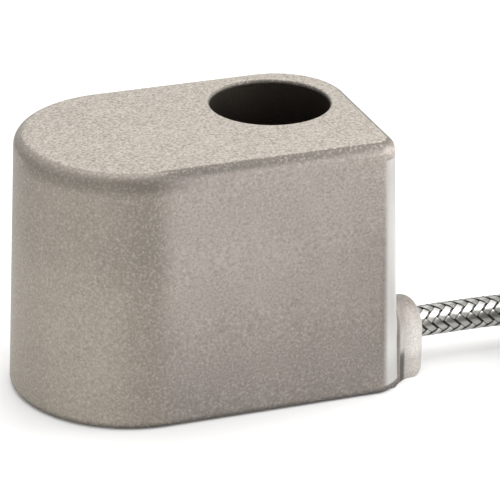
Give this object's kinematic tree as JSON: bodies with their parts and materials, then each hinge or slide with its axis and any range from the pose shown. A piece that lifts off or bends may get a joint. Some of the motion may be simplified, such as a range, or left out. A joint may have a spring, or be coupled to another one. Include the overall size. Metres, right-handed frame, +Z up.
{
  "type": "vibration sensor",
  "caption": "Low side-exit vibration sensor: drafted cast steel block with a counterbored bolt bore, an inner shear stack and an integral braided cable.",
  "frame": {"origin": "middle of the casting's bounding box, on the mounting face", "axes": "+Z up from the mounting face along the bolt bore, +X the way the cable leaves, -Y out of the straight front wall"},
  "size_m": [0.1244, 0.0935, 0.0308],
  "materials": {
    "cast_steel": "bead-blasted cast stainless steel",
    "machined_steel": "fine turned",
    "ceramic": "ground",
    "piezo": "ground",
    "tungsten": "ground",
    "tinned": "tin plated",
    "board": "solder mask",
    "chip": "moulded",
    "capacitor": "fired ceramic",
    "polymer": "turned polymer",
    "seal": "moulded",
    "jacket": "extruded",
    "red": "extruded",
    "black": "moulded",
    "braid": "braided bright flat wire"
  },
  "bodies": {
    "root": {"housing": "cast_steel", "base_cover": "machined_steel", "isolator_disc": "ceramic", "sensing_post": "machined_steel", "piezo_plate_front": "piezo", "piezo_plate_back": "piezo", "seismic_mass_front": "tungsten", "seismic_mass_back": "tungsten", "preload_ring": "machined_steel", "insulating_washer": "ceramic", "stack_screw": "machined_steel", "shield_can": "tinned", "board_spacer": "polymer", "circuit_board": "board", "amplifier_chip": "chip", "input_transistor": "chip", "coupling_capacitor": "capacitor", "feedback_capacitor": "capacitor", "bias_resistor_1": "chip", "bias_resistor_2": "chip", "signal_wire": "red", "shield_wire": "tinned", "core_signal": "red", "core_return": "black", "inner_jacket": "jacket", "crimp_ferrule": "machined_steel", "cable_seal": "seal", "cable_lead": "braid", "cable_coil": "braid", "coil_tie": "black", "cable_tail": "braid", "end_sleeve": "black", "tail_jacket": "jacket", "lead_signal": "red", "lead_return": "black", "lead_screen": "tinned", "ferrule_signal": "tinned", "ferrule_return": "tinned", "ferrule_screen": "tinned"}
  },
  "joints": []
}
